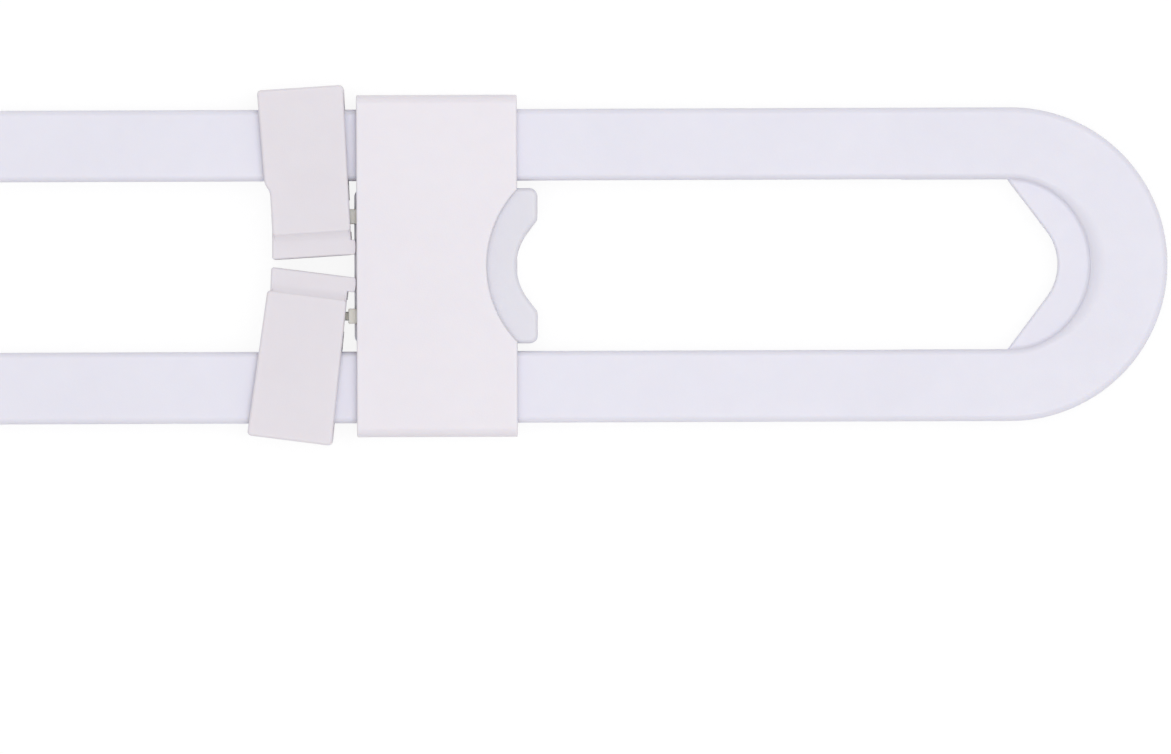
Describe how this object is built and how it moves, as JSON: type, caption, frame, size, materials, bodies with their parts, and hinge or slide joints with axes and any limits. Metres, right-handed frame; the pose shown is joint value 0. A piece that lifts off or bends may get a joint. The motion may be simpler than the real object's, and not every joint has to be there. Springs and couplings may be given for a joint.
{
  "type": "sliding cabinet lock",
  "caption": "U-shaped bar that goes round a pair of cabinet knobs, with a slider on its legs that ratchets towards the bend and is freed by pinching two sprung tabs.",
  "frame": {"origin": "middle of the slider's rear face, on the bar's centre line", "axes": "+X along the legs to the bend, +Y across the legs, +Z out of the front face"},
  "size_m": [0.19, 0.0529, 0.0098],
  "materials": {
    "bar_plastic": "satin moulded, white with a lavender cast",
    "cover_plastic": "satin moulded, white",
    "core_plastic": "satin moulded, white",
    "tab_plastic": "satin moulded, white",
    "spring_plastic": "natural, slightly translucent",
    "pin_steel": "drawn wire"
  },
  "bodies": {
    "bar": {"u_bar": "bar_plastic"},
    "slider": {"front_cover": "cover_plastic", "rear_cover": "cover_plastic", "lock_core": "core_plastic", "upper_hinge_pin": "pin_steel", "lower_hinge_pin": "pin_steel", "upper_spring": "spring_plastic", "lower_spring": "spring_plastic"},
    "upper_lever": {"upper_tab": "tab_plastic"},
    "lower_lever": {"lower_tab": "tab_plastic"}
  },
  "joints": [
    {"name": "slider_slide", "type": "slide", "parent": "bar", "child": "slider", "axis": [1, 0, 0], "range_m": [-0.1, 0.0675]},
    {"name": "upper_tab_pinch", "type": "hinge", "parent": "slider", "child": "upper_lever", "pos_m": [-0.0109, 0.0028, 0.00405], "axis": [0, 0, 1], "range_deg": [-3.6, 3.8], "stiffness_Nm_per_rad": 0.5, "springref_deg": -3.6, "deforming": ["upper_spring"]},
    {"name": "lower_tab_pinch", "type": "hinge", "parent": "slider", "child": "lower_lever", "pos_m": [-0.0109, -0.0028, 0.00405], "axis": [0, 0, -1], "range_deg": [-7.4, 0], "stiffness_Nm_per_rad": 0.5, "springref_deg": -7.4, "deforming": ["lower_spring"]}
  ]
}
